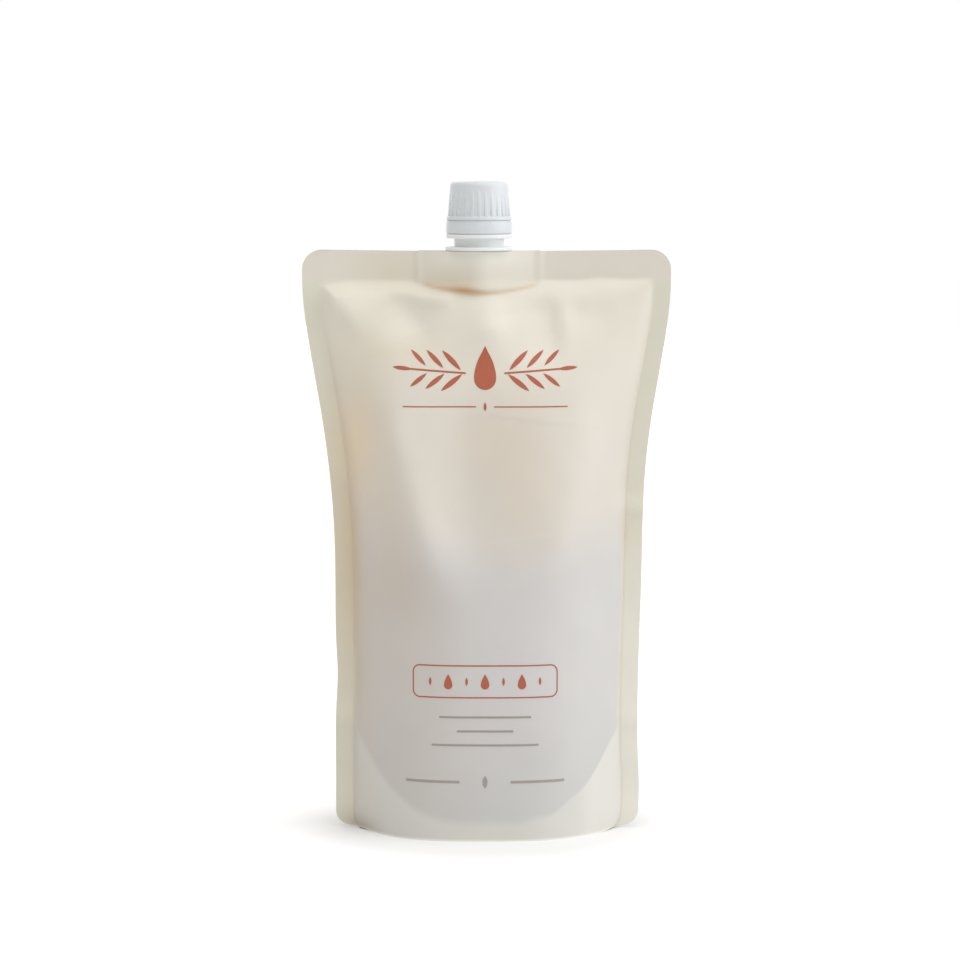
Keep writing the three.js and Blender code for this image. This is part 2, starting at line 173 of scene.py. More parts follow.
def makeStudio():
    deselect()
    bpy.ops.object.camera_add(location=[v * mm for v in studio["cameraPlace"]])
    camera = bpy.context.object
    aim = Vector(studio["cameraAim"]) - Vector(studio["cameraPlace"])
    camera.rotation_euler = aim.to_track_quat("-Z", "Y").to_euler()
    camera.data.lens = studio["lens"]
    camera.data.clip_end = 50  # metres
    scene.camera = camera

    for name, lamp in studio["lamps"].items():
        bpy.ops.object.light_add(type="SUN")
        light = bpy.context.object
        light.name = name
        light.rotation_euler = Vector(lamp["from"]).to_track_quat("Z", "Y").to_euler()
        light.data.energy = lamp["strength"]
        light.data.angle = math.radians(lamp["spread"])
        light.data.color = lamp["colour"]

    # The camera and reflections see a white room, and the soft light that it gives is weaker than that.
    world = scene.world or bpy.data.worlds.new("whiteRoom")
    scene.world = world
    world.use_nodes = True
    tree = world.node_tree
    tree.nodes.clear()
    rays = addNode(tree, "LightPath")
    seen = rays.outputs["Is Camera Ray"]
    for kind in ("Is Glossy Ray", "Is Transmission Ray"):
        seen = addNode(tree, "Math", {"operation": "MAXIMUM"}, {0: seen, 1: rays.outputs[kind]}).outputs[0]
    tint, level = studio["ambient"]
    soft = addNode(tree, "Background", None, {"Color": tint, "Strength": level})
    plain = addNode(tree, "Background", None, {"Color": (1, 1, 1, 1), "Strength": studio["background"]})
    room = addNode(tree, "MixShader", None, {0: seen, 1: soft.outputs[0], 2: plain.outputs[0]})
    output = tree.nodes.new("ShaderNodeOutputWorld")
    tree.links.new(room.outputs[0], output.inputs[0])

    bpy.ops.mesh.primitive_circle_add(vertices=128, radius=studio["floorRadius"] * mm, fill_type="NGON")
    floor = bpy.context.object
    floor.name = "floor"
    material, tree, output = newMaterial("paintedFloorMatt")  # matt white paint: a soft shadow and no mirror image
    seen = addNode(tree, "LightPath").outputs["Is Camera Ray"]
    place = addNode(tree, "TexCoord").outputs["Object"]
    distance = addNode(tree, "VectorMath", {"operation": "LENGTH"}, {0: place}).outputs["Value"]
    # painted light: the floor glows for the camera, dimly near the pouch and more further out
    (near, dim), (far, bright) = studio["floorGlow"]
    level = addNode(tree, "MapRange", {"interpolation_type": "SMOOTHSTEP"}, {
        "Value": distance, "From Min": near * mm, "From Max": far * mm, "To Min": dim, "To Max": bright,
    }).outputs[0]
    glow = addNode(tree, "Math", {"operation": "MULTIPLY"}, {0: seen, 1: level})
    paint = addNode(tree, "BsdfPrincipled", None, {
        "Base Color": srgb(studio["floorWhite"]), "Roughness": 0.9, "Specular IOR Level": 0.1,
        "Emission Color": (1, 1, 1, 1), "Emission Strength": glow.outputs[0],
    })
    tree.links.new(paint.outputs[0], output.inputs[0])
    floor.data.materials.append(material)
    print("studio: camera, three lamps, white room and floor")


makeStudio()


# The film pouch

film = {
    "width": 145, "height": 229.5, "bellyDepth": 31, "bellyTop": 95, "laminate": 0.3,
    "sideSeal": 7, "topSeal": 11.5, "topCorner": 8, "bottomCorner": 6, "cornerLift": 1.2, "endRise": 0.8,
    "sealFoot": 6.7, "gussetHeight": 43, "gussetLead": 4, "restingHalf": 33,
    "bowPower": 3, "depthPower": 2.5, "sealPower": 3.1,  # curves across the belly, up it, and of the round seal
    "edgeBand": 12.5,  # width at each side in which the outline is drawn in
    "cell": 0.95,  # size of a mesh cell
    "ripple": 0.16,  # height of the slow unevenness of the film
}
canoe = {  # the welded foot of the spout, and how the film lies over it
    "centre": -2.9, "barrel": 9.2, "length": 47.5, "height": 14.2, "tipHeight": 10.6, "tipHalf": 0.45,
    "jacket": 0.8,  # from the foot to the outer face of the film
    "gap": 0.3,
    "pinch": (0.14, 2.2),  # the film draws in under the foot: by what share, and over what height
    "fade": 2.6,  # then it leaves the foot's shape over this many foot heights
    "blend": 3,  # and joins the panel softly
}
panelHalf = film["width"] / 2 - film["sideSeal"]
sealLine = film["height"] - film["topSeal"]

# Soft folds of the two panels: points (x and height), rise outwards, and the widths of the flanks to the left and
# to the right as one goes along the line.
frontCreases = [
    ([(-73, 227), (-62, 213), (-53, 204), (-43, 195)], 3.3, (10, 4)),
    ([(-44, 188), (-40, 166), (-35, 147), (-29.5, 125), (-20, 104), (-12, 86)], 5.2, (9.5, 16)),
    ([(19.5, 222), (22.5, 208), (23.5, 196), (25.5, 180)], -2.2, (4, 9)),
    ([(28, 207), (40, 206), (52, 209)], -1.0, (4, 6)),
    ([(50, 172), (41, 142), (29, 112), (13, 90)], 1.6, (10, 12)),
    ([(-1, 194), (-7, 167), (-8, 140), (-6, 116), (-1, 92)], -3.8, (24, 11)),
    ([(-40, 224), (-34, 213), (-30.5, 206), (-27, 198), (-20, 186)], -3.7, (8, 9)),
    ([(-2, 219), (-1, 211), (-1, 204), (2, 196), (6, 185)], 4.3, (8, 12)),
    ([(-56, 213), (-50, 211), (-42, 211)], -0.8, (3, 3)),
    ([(-13, 232), (-17, 215), (-20, 203)], 2.4, (6, 15)),
]
backCreases = [
    ([(-0.9 * x, z - 7) for x, z in line], rise * 0.75, flanks[::-1])
    for line, rise, flanks in frontCreases[:6]
]
foldShape = {
    "blunt": 1.4,  # keeps the top of a fold from being a knife edge
    "power": 1.5,  # how fast the flanks fall
    "crossover": 0.6,  # share of both flanks in which one width turns into the other
    "endHeight": 0.03, "endSlope": 2.6,  # share of the rise that is left at the ends, and how fast it comes up
}
# The side seals wander out of plane: side, height, how far back, and over what height.
sealWaves = [
    (1, 186, -0.8, 16), (1, 128, -1.2, 4), (1, 88, 0.7, 14), (1, 43, -1.0, 5), (1, 14, 0.8, 7),
    (-1, 196, 0.9, 12), (-1, 143, -1.7, 15), (-1, 92, 0.8, 12), (-1, 44, -1.4, 6), (-1, 20, 0.9, 8),
]
# The side seals' outline isn't even: side, height, how far to the right, and over what height.
sideShifts = [(1, 108, 1.5, 36), (1, 15, 0.8, 14), (-1, 62, 0.8, 12)]
# The top corners lean forward: side, where it starts, how far, and over what width.
topFlares = [(-1, 46, 2.2, 30), (1, 26, 1.8, 44)]
# The film leaves the seals in a tight roll, which is gone where the panel stands out by more than the bow given.
roll = {"height": 1.8, "width": 2.4, "bow": 15}
# It tucks under at the two lower corners: by how much, from what distance to the side, and below what height.
tuck = {"left": 3.2, "right": 1.2, "from": 34, "over": 16, "below": 15}


def depthAt(z):
    s = (sealLine - z) / (sealLine - film["bellyTop"])
    return film["bellyDepth"] * (1 - (1 - np.clip(s, 0, 1)) ** film["depthPower"])


def bowSlope(x, depth, span):
    return film["bowPower"] * depth / span * (x / span) ** (film["bowPower"] - 1)


def bowLength(x, depth, span, slices=24):  # along the film from the middle of a panel out to x
    steps = (np.arange(slices) + 0.5) / slices
    slope = bowSlope(x[..., None] * steps, depth[..., None], span[..., None])
    return np.hypot(1, slope).mean(-1) * x


# Half the width between the side seals narrows as the panel bows out. It is found by halving for a row of depths.
depthTable = np.linspace(0, film["bellyDepth"], 160)
low, high = np.full_like(depthTable, panelHalf * 0.2), np.full_like(depthTable, panelHalf)
for _ in range(40):
    middle = (low + high) / 2
    tooLong = bowLength(middle, depthTable, middle) > panelHalf
    low, high = np.where(tooLong, low, middle), np.where(tooLong, middle, high)
spanTable = (low + high) / 2


def spanAt(z):
    return np.interp(depthAt(z), depthTable, spanTable)


fullSpan = float(spanAt(np.array(0.0)))


def halfWidth(z):  # of the outline, with its round corners
    lowCorner, topCorner = film["bottomCorner"], film["topCorner"]
    down = np.clip(lowCorner - z, 0, lowCorner)
    up = np.clip(z - (film["height"] - topCorner), 0, topCorner)
    straight = spanAt(z) + film["sideSeal"] - lowCorner - topCorner
    return straight + np.sqrt(lowCorner ** 2 - down ** 2) + np.sqrt(np.maximum(topCorner ** 2 - up ** 2, 0))


def canoeHalf(x, grow):  # half the thickness of the spout's foot: a barrel with two fins drawn to its tips
    barrel, tip = canoe["barrel"] + grow, canoe["length"] / 2 + grow
    touch = math.acos(barrel / tip)
    reach = np.abs(x)
    fin = barrel * math.sin(touch) * (tip - reach) / (tip - barrel * math.cos(touch))
    half = np.where(reach <= barrel * math.cos(touch), np.sqrt(np.maximum(barrel ** 2 - reach ** 2, 0)), fin)
    return np.maximum(half, canoe["tipHalf"] + grow)


def canoeTall(offCentre):  # height of the spout's foot, which is deepest in the middle
    return lerp(canoe["height"], canoe["tipHeight"], (offCentre / (canoe["length"] / 2)) ** 2)


def canoeFoot(x):  # where its lower edge is
    half = canoe["length"] / 2
    return film["height"] - canoeTall(np.clip(x - canoe["centre"], -half, half))


def creaseHeight(creases, x, z):
    ridges, dips = np.zeros_like(x), np.zeros_like(x)
    blunt = foldShape["blunt"]
    for line, rise, (left, right) in creases:
        nearest, side, share = np.full_like(x, 1e9), np.zeros_like(x), np.zeros_like(x)
        for k, ((x0, z0), (x1, z1)) in enumerate(zip(line, line[1:])):
            run = (x1 - x0, z1 - z0)
            along = ((x - x0) * run[0] + (z - z0) * run[1]) / (run[0] ** 2 + run[1] ** 2)
            t = np.clip(along, 0, 1)
            away = np.hypot(x - x0 - run[0] * t, z - z0 - run[1] * t)
            closer = away < nearest
            nearest = np.where(closer, away, nearest)
            side = np.where(closer, np.sign((x - x0) * run[1] - (z - z0) * run[0]), side)
            share = np.where(closer, (k + t) / (len(line) - 1), share)
        over = foldShape["crossover"] * (left + right)
        width = lerp(left, right, smooth(0.5 + side * nearest / over * 0.5))
        ends = lerp(foldShape["endHeight"], 1, smooth(np.minimum(share, 1 - share) * foldShape["endSlope"]))
        fall = (np.sqrt(nearest ** 2 + blunt ** 2) - blunt) / width
        fold = rise * ends * np.exp(-fall ** foldShape["power"])
        ridges, dips = np.maximum(ridges, fold), np.minimum(dips, fold)
    return ridges, dips


def topLine(x):  # the lower edge of the top seal, which isn't quite straight and is lower at the left
    uneven = 0.35 * np.sin(x / 7 + 1) + 0.3 * np.sin(x / 3.1)
    return sealLine + uneven - 1.3 * smooth((-x - 8) / 14)


def panelDepth(creases, x, z):  # how far a panel stands from the mid-plane
    span, depth = spanAt(z), depthAt(z)
    bow = depth * np.maximum(1 - np.abs(x / span) ** film["bowPower"], 0)  # deepest in the middle
    fromSide, fromTop = np.maximum(span - np.abs(x), 0), np.maximum(topLine(x) - z, 0)
    rolled = roll["height"] * (1 - np.exp(-fromSide / roll["width"])) * (1 - np.exp(-fromTop / roll["width"]))
    rolled = rolled * (1 - smooth(bow / roll["bow"]))
    tucked = lerp(tuck["left"], tuck["right"], smooth(x / 20 + 0.5))
    tucked = tucked * smooth((np.abs(x) - tuck["from"]) / tuck["over"]) * np.clip(1 - z / tuck["below"], 0, 1) ** 2
    ridges, dips = creaseHeight(creases, x, z)
    ridges = ridges * smooth(np.minimum(fromSide, fromTop) / 5 - 0.1)  # none on the seals
    free = film["laminate"] + bow + rolled + ridges + smooth(bow / 8) * (dips - tucked)

    # Over the spout's foot the film is held out.
    offCentre = x - canoe["centre"]
    pastTips = np.abs(offCentre) - canoe["length"] / 2 - canoe["jacket"]
    below = canoeFoot(x) - canoe["jacket"] - z
    amount, over = canoe["pinch"]
    held = canoeHalf(offCentre, canoe["jacket"]) * (1 - smooth(pastTips / 1.2))
    held = held * (1 - amount * smooth(below / over)) * (1 - smooth(below / (canoe["fade"] * canoe["height"])))
    blend = np.minimum(np.minimum(free, held), canoe["blend"])
    near = np.where(blend > 0, np.maximum(blend - np.abs(free - held), 0) / np.maximum(blend, 1e-6), 0)
    return np.maximum(free, held) + near ** 2 * blend / 4


def sealCurve(x):  # the round seal between the gusset and a panel
    return lerp(film["sealFoot"], film["gussetHeight"], np.abs(x / fullSpan) ** film["sealPower"])


# Slow unevenness, as of a thick film that was rolled and welded: patches of 24 by 30 mm, and finer ones of 9 by 13.
def rippleAt(u, v, seed):
    values = []
    for across, up in zip(u.ravel(), v.ravel()):
        slow = noise.noise(Vector((across / 24, up / 30, seed)))
        quick = noise.noise(Vector((across / 9, up / 13, seed + 5)))
        values.append(slow + 0.45 * quick)
    return np.array(values).reshape(u.shape)


def sideBumps(bumps, u, v, start, over):  # of the side seals by height, growing out to the edge
    grown = smooth((np.abs(u) - start) / over)
    return sum(far * bell((v - height) / tall) * (np.sign(u) == side) * grown for side, height, far, tall in bumps)


# Flat place on the film to the place on the full pouch.
def onFilm(u, v, side, creases):
    depth, span = depthAt(v), spanAt(v)
    inside = np.minimum(np.abs(u), panelHalf)
    x = inside * span / panelHalf
    for _ in range(6):  # the film keeps its length across, so a place is found along the bow, step by step
        tooFar = bowLength(x, depth, span) - inside
        x = np.clip(x - tooFar / np.hypot(1, bowSlope(x, depth, span)), 0, span)
    strip = np.abs(u) - inside
    x = x + strip
    bowX = np.where(strip > 0, span, x)
    whole, edge = span + film["sideSeal"], halfWidth(v)
    kept = whole - film["edgeBand"]
    x = np.where(x > kept, kept + (x - kept) * (edge - kept) / (whole - kept), x)
    x, bowX = np.sign(u) * x, np.sign(u) * bowX

    reach = np.abs(x) / (film["width"] / 2)
    curl = film["cornerLift"] * smooth((reach - 0.6) / 0.2) * np.maximum(1 - v / film["gussetHeight"], 0)
    lift = curl + film["endRise"] * reach ** 2 * smooth((v - film["bellyTop"]) / (sealLine - film["bellyTop"]))
    out = np.where(strip > 0, film["laminate"], panelDepth(creases, bowX, v))
    free = smooth((out - film["laminate"]) / 6) * smooth(v / 14) * smooth((sealLine - v) / 12)
    out = out + free * film["ripple"] * rippleAt(u, v, 3.0 if side < 0 else 8.0)
    wave = sideBumps(sealWaves, u, v, 52, 18) * smooth(v / 12)
    flare = sum(far * smooth((at * u - start) / over) for at, start, far, over in topFlares)
    y = side * out + wave - flare * smooth((v - 185) / 30)
    return np.stack([x + sideBumps(sideShifts, u, v, 30, 35), y, v + lift], -1)


# A grid primitive with its vertices moved to rows of points. Flat film places are kept as an attribute.
def shapedGrid(name, points, flat=None):
    rows, columns = points.shape[:2]
    deselect()
    bpy.ops.mesh.primitive_grid_add(x_subdivisions=columns - 1, y_subdivisions=rows - 1, size=1)
    grid = bpy.context.object
    grid.name = name
    grid.data.vertices.foreach_set("co", (points * mm).astype(np.float32).ravel())
    if flat is not None:
        kept = grid.data.attributes.new("flatPlace", "FLOAT_VECTOR", "POINT")
        kept.data.foreach_set("vector", flat.astype(np.float32).ravel())
    grid.data.update()
    return grid


def makeFilmPouch():
    width, height = film["width"], film["height"]
    # Columns and rows of the flat film, closer together at the round corners
    strips = np.linspace(panelHalf, width / 2, 9)
    inner = np.linspace(-panelHalf, panelHalf, int(2 * panelHalf / film["cell"]) + 1)
    columns = np.concatenate([-strips[:0:-1], inner, strips[1:]])
    lowRows = film["bottomCorner"] * (1 - np.cos(np.linspace(0, math.pi / 2, 9)))
    cornerFoot = height - film["topCorner"]
    middleRows = np.linspace(film["bottomCorner"], sealLine, int((sealLine - film["bottomCorner"]) / film["cell"]))
    sealRows = np.linspace(sealLine, cornerFoot, 5)
    topRows = cornerFoot + film["topCorner"] * np.sin(np.linspace(0, math.pi / 2, 13))
    rows = np.concatenate([lowRows[:-1], middleRows, sealRows[1:], topRows[1:]])
    u, v = np.meshgrid(columns, rows)

    front, back = onFilm(u, v, -1, frontCreases), onFilm(u, v, 1, backCreases)
    flatFront, flatBack = [np.stack([u, v, np.full_like(u, side)], -1) for side in (-1, 1)]
    sheets = [
        shapedGrid("frontPanel", front, flatFront),
        shapedGrid("backPanel", back[:, ::-1], flatBack[:, ::-1]),
    ]

    # The cut edges at the sides, where the two films meet.
    for edge in (0, -1):
        rim = np.stack([front[:, edge], (front[:, edge] + back[:, edge]) / 2, back[:, edge]], 1)
        flat = np.stack([flatFront[:, edge], flatFront[:, edge], flatBack[:, edge]], 1)
        sheets.append(shapedGrid("sideRim", rim, flat))

    # The underside: the fins' inner faces, and the gusset, which rests on the floor and rises at its ends.
    foot, heel = front[0], back[0]
    x, z = foot[:, 0], foot[:, 2]
    gussetEnd = fullSpan * 0.985  # just inside the side seals
    hollow = np.maximum(np.minimum(-foot[:, 1], heel[:, 1]) - 2 * film["laminate"], 0)
    hollow = np.where(np.abs(x) < gussetEnd, hollow, 0)
    rise = np.clip((np.abs(x) - film["restingHalf"]) / (gussetEnd - film["restingHalf"]), 0, 1) ** 1.5
    ridge = lerp(-1, film["gussetHeight"] - film["gussetLead"], rise)
    underside = [(-1, lerp(z, sealCurve(x), t)) for t in (0, 0.33, 0.67)]
    for share in np.sin(np.linspace(-math.pi / 2, math.pi / 2, 27)):
        arch = lerp(ridge, sealCurve(x), share ** 4)
        underside.append((share, np.maximum(arch, 0.03)))  # flat on the floor where it rests
    underside += [(1, lerp(z, sealCurve(x), t)) for t in (0.67, 0.33, 0)]
    underside = [np.stack([x, share * hollow, np.where(hollow > 0, tall, z)], -1) for share, tall in underside]
    underside = np.stack([foot, *underside, heel])
    flat = np.stack([columns, np.full_like(columns, -2), np.zeros_like(columns)], -1)
    sheets.append(shapedGrid("gusset", underside, np.stack([flat] * len(underside))))

    # The top edge, with the pocket that the spout's foot fills.
    brow, crown = front[-1], back[-1]
    x, z = brow[:, 0], brow[:, 2]
    offCentre = x - canoe["centre"]
    inPocket = np.abs(offCentre) < canoe["length"] / 2 + canoe["gap"]
    half = np.where(inPocket, canoeHalf(offCentre, canoe["gap"]), 0)
    y = np.where(inPocket, 0, (brow[:, 1] + crown[:, 1]) / 2)
    bottom = np.where(inPocket, height - canoeTall(offCentre) - canoe["gap"], z)
    path = [(-1, 0), (-1, 0.5), (-1, 1), (-0.5, 1), (0, 1), (0.5, 1), (1, 1), (1, 0.5), (1, 0)]  # across and down
    pocket = [np.stack([x, y + across * half, lerp(z, bottom, down)], -1) for across, down in path]
    topEdge = np.stack([brow, *pocket, crown])
    flat = np.stack([columns, np.full_like(columns, height), np.zeros_like(columns)], -1)
    sheets.append(shapedGrid("topEdge", topEdge, np.stack([flat] * len(topEdge))))

    pouch = joined("filmPouch", sheets)
    finishMesh(pouch, angle=50)
    print("film pouch:", len(pouch.data.polygons), "faces")
    return pouch


filmPouch = makeFilmPouch()


# What the film's material needs to know about each place, kept as attributes of the mesh.
soapLevel = {"sides": 120, "middle": 108, "lowestAt": 12, "halfWidth": 27, "fade": 17}
# Where the film is warmer and darker: partly its own colour, where little or no soap stands behind it, and partly
# painted shade, on the left flank and under the spout's foot: place, reach and strength.
warmAndShadePlaces = [
    (-66, 108, 9, 44, 0.45), (-50, 170, 12, 30, 0.16), (-58, 60, 9, 60, 0.1), (-57, 152, 12, 24, 0.1),
    (-60, 12, 14, 14, 0.08), (-40, 116, 13, 20, 0.22), (-38, 98, 13, 16, 0.1), (5, 156, 18, 16, 0.16),
    (16, 132, 14, 22, 0.1), (-38, 222, 12, 9, 0.18), (-14, 217.5, 11, 3.5, 0.34), (-32, 191, 17, 6, 0.18),
    (66, 119, 5, 6, 0.15),
]
filmLook = {
    "cream": "D6CFC5",
    "roughness": (0.32, 0.44),
    "tints": {  # laid over the cream in this order: colour and strength
        "upperPaintedLight": ("DFDACC", 1),  # painted light: the film lighter towards the top, where the pouch is thin
        "soapTint": ("CCC9C7", 1),  # soap behind the film
        "leftPaintedShade": ("C5BBB0", 0.48),  # painted shade on the soap's left side
        "lowPaintedShade": ("BDBCB9", 0.5),  # painted shade: the soap darker towards the foot
        "skirtTint": ("D0CEC8", 1),  # the round seal at the foot
        "sideSealTint": ("DAD6C6", 1),
        "topSealTint": ("DBD6C9", 1),
        "paintedLightTint": ("E9E6DB", 1),  # painted light: the seal paler on the right and under the spout
        "goldPaintedLight": ("EFDBBB", 0.55),  # painted light: a warm glow at the upper left, as of light that comes through
        "nookTint": ("A69B8F", 0.8),  # shade in the lower left corner
        "warmAndShadeTint": ("CDB389", 1),  # the warm places: the film's own warmer colour, and painted shade
        "keelShade": ("C39B6D", 1),  # the crease under the spout's foot
        "edgeTint": ("EFEDE6", 0.8),  # the cut lower edge
    },
}


def markFilm(piece):
    count = len(piece.data.vertices)
    flat = np.zeros(count * 3, np.float32)
    piece.data.attributes["flatPlace"].data.foreach_get("vector", flat)
    u, v, side = flat.reshape(-1, 3).T.astype(float)
    place = np.zeros(count * 3, np.float32)
    piece.data.vertices.foreach_get("co", place)
    x = place.reshape(-1, 3)[:, 0] / mm
    fromCanoe = x - canoe["centre"]
    panel, front = (np.abs(side) > 0.5) & (v >= 0), side < 0
    fromSeal = panelHalf - np.abs(u)
    inSideSeal, inRightSeal = smooth((0.3 - fromSeal) / 0.8), smooth((u - panelHalf + 0.3) / 0.8)

    apart = np.clip(np.abs(x - soapLevel["lowestAt"]) / soapLevel["halfWidth"], 0, 1)
    level = lerp(soapLevel["middle"], soapLevel["sides"], apart ** 1.25) + 2.5 * np.sin(x / 9)
    soap = smooth((level - v) / (2 * soapLevel["fade"]) + 0.5) * smooth((fromSeal - 0.3) / 4)
    # painted shade: the soap darker on its left side, below its level
    left = smooth((level - v) / 24) * smooth((6 - x) / 34) * smooth(fromSeal / 6)
    curve = sealCurve(x) + 0.5 * np.sin(x / 2.3) * smooth(x / 20)
    soft = lerp(5.0, 1.6, smooth((x - 10) / 25))  # the seal's edge shows more sharply on the right
    skirt = panel * (1 - smooth((v - curve) / soft + 0.4))
    # painted light on the right seal and the skirt's right part, and under the spout's flange, where its shadow falls
    rightPaintedLight = 0.75 * inRightSeal * smooth((150 - v) / 90) + 0.3 * skirt * smooth((u - 36) / 10) * (u < panelHalf)
    spoutPaintedLight = 0.9 * smooth((v - 221) / 6) * bell(fromCanoe / 17)
    keelBump = bell((x + 9) / 8)  # the film is creased hardest left of the keel's middle
    keel = bell((v - canoeFoot(x) + lerp(2.1, 1.3, keelBump)) / lerp(0.8, 1.5, keelBump))
    keel = keel * smooth((25 - np.abs(fromCanoe)) / 5) * lerp(0.45, 1, keelBump)
    # the film's warmer colour where little soap is behind it, and painted shade
    warm = sum(
        amount * bell((u - atU) / overU) * bell((v - atV) / overV)
        for atU, atV, overU, overV, amount in warmAndShadePlaces
    )
    marks = {
        # painted light: lighter towards the top
        "upperPaintedLight": smooth((v - 150) / 55),
        "soapTint": panel * soap,
        "leftPaintedShade": panel * left * front,
        # painted shade: darker towards the foot
        "lowPaintedShade": panel * smooth((62 - v) / 55) * smooth((fromSeal - 0.3) / 12),
        "skirtTint": skirt * (1 - inSideSeal),
        "sideSealTint": inSideSeal * (v < sealLine),
        "topSealTint": smooth((v - topLine(x) + 0.3) / 0.8),
        "paintedLightTint": rightPaintedLight + spoutPaintedLight,
        # painted light: a warm glow at the upper left
        "goldPaintedLight": panel * bell((u + 56) / 11) * bell((v - 155) / 17) * front,
        "nookTint": bell((u + 60) / 11) * bell((v + 1) / 6) * front,
        "warmAndShadeTint": panel * np.clip(warm, 0, 1) * (1 - 0.5 * (side > 0)),  # half as strong on the back
        "keelShade": panel * keel,
        "edgeTint": smooth((0.75 - v) / 0.4) * (fromSeal > -1),
    }
    for name, (_, strength) in filmLook["tints"].items():
        made = piece.data.attributes.new(name, "FLOAT", "POINT")
        made.data.foreach_set("value", (strength * marks[name]).astype(np.float32))
    uvMap = piece.data.uv_layers.active or piece.data.uv_layers.new(name="flatFilm")
    corners = np.zeros(len(piece.data.loops), np.int32)
    piece.data.loops.foreach_get("vertex_index", corners)
    uv = np.stack([(u[corners] + 80 * side[corners] + 160) / 400, (v[corners] + 20) / 400], -1)
    uvMap.data.foreach_set("uv", uv.astype(np.float32).ravel())


# Satin printed laminate film over white liquid soap: milky, softly glossy, with a faint orange peel.
def makeFilmMaterial():
    material, tree, output = newMaterial("filmLaminateSatin")
    place = addNode(tree, "TexCoord").outputs["Object"]
    colour = addNode(tree, "RGB").outputs[0]
    colour.default_value = srgb(filmLook["cream"])
    for name, (shade, _) in filmLook["tints"].items():
        share = addNode(tree, "Attribute", {"attribute_name": name}).outputs["Fac"]
        colour = addNode(tree, "Mix", {"data_type": "RGBA"}, {0: share, 6: colour, 7: srgb(shade)}).outputs[2]
    # The milk of the film is a little uneven, in patches of some 20 mm.
    patches = addNode(tree, "TexNoise", None, {"Vector": place, "Scale": 50, "Detail": 2}).outputs["Fac"]
    tone = addNode(tree, "MapRange", None, {
        **noiseSpan, "Value": patches, "To Min": 0.985, "To Max": 1.012,
    }).outputs[0]
    tinted = addNode(tree, "VectorMath", {"operation": "SCALE"}, {0: colour, "Scale": tone}).outputs[0]
    low, high = filmLook["roughness"]
    sheen = addNode(tree, "MapRange", None, {**noiseSpan, "Value": patches, "To Min": low, "To Max": high}).outputs[0]
    # Orange peel of the varnish, some 2.5 mm across, and a finer grain of 0.4 mm.
    peel = addNode(tree, "TexNoise", None, {"Vector": place, "Scale": 400, "Detail": 2}).outputs["Fac"]
    grain = addNode(tree, "TexNoise", None, {"Vector": place, "Scale": 2500, "Detail": 2}).outputs["Fac"]
    relief = addNode(tree, "Bump", None, {"Height": peel, "Strength": 0.25, "Distance": 0.1 * mm}).outputs[0]
    relief = addNode(tree, "Bump", None, {
        "Height": grain, "Strength": 0.15, "Distance": 0.03 * mm, "Normal": relief,
    }).outputs[0]
    shader = addNode(tree, "BsdfPrincipled", None, {
        "Base Color": tinted, "Roughness": sheen, "IOR": 1.5, "Normal": relief,
    })
    tree.links.new(shader.outputs[0], output.inputs[0])
    return material


markFilm(filmPouch)
dress(filmPouch, makeFilmMaterial(), "pack", "pouch")
print("film: material and tints")


# Print: a plain sprig and bars, laid flat in film millimetres first and then carried onto the film

inks = {
    "terracotta": "AB5A40", "grey": "9D958F", "lift": 0.07, "thickness": 0.05, "cell": 1.0,
    # The front's middle, and the heights of its rows from the sprig down to the foot
    "middle": -0.6, "sprig": 184.5, "rule": 169.5, "field": 63, "fieldSize": (58, 13), "bars": (49, 43.5, 38),
    "foot": 23.5,
}


# A flat patch from its corners, in millimetres round its middle, with some corners rounded.
def inkShape(corners, soft=(), share=50, place=(0, 0), angle=0.0):
    deselect()
    bpy.ops.mesh.primitive_circle_add(vertices=len(corners), radius=mm, fill_type="NGON")
    patch = bpy.context.object
    for index, (vertex, (x, y)) in enumerate(zip(patch.data.vertices, corners)):
        vertex.co = (x * mm, y * mm, 0)
        vertex.select = index in soft
    for line in patch.data.edges:
        line.select = False
    for face in patch.data.polygons:
        face.select = False
    if soft:
        bpy.ops.object.mode_set(mode="EDIT")
        bpy.ops.mesh.bevel(offset_type="PERCENT", offset_pct=share, segments=8, affect="VERTICES")
        bpy.ops.object.mode_set(mode="OBJECT")
    patch.rotation_euler.z = math.radians(angle)
    patch.location = (place[0] * mm, place[1] * mm, 0)
    bpy.ops.object.transform_apply(location=True, rotation=True, scale=True)
    return patch


def inkLeaf(length, width, place, angle):  # pointed at both ends
    half = (length / 2, width / 2)
    return inkShape([(half[0], 0), (0, half[1]), (-half[0], 0), (0, -half[1])], (1, 3), 92, place, angle)


def inkDrop(length, width, place):
    across, up = width / 2, length / 2
    corners = [(0, up), (-across, -0.1 * up), (-across * 0.8, -up), (across * 0.8, -up), (across, -0.1 * up)]
    return inkShape(corners, (1, 2, 3, 4), 50, place)


def inkBar(length, height, place, angle=0.0):
    across, up = length / 2, height / 2
    return inkShape([(across, up), (-across, up), (-across, -up), (across, -up)], (), 0, place, angle)


def inkOutline(width, height, line, place):  # a thin frame with round corners
    border = inkBar(width, height, place)
    bpy.ops.object.mode_set(mode="EDIT")
    bpy.ops.mesh.select_all(action="SELECT")
    bpy.ops.mesh.bevel(offset=3 * mm, segments=8, affect="VERTICES")
    bpy.ops.mesh.select_all(action="SELECT")
    bpy.ops.mesh.inset(thickness=line * mm)
    bpy.ops.mesh.delete(type="FACE")
    bpy.ops.object.mode_set(mode="OBJECT")
    return border


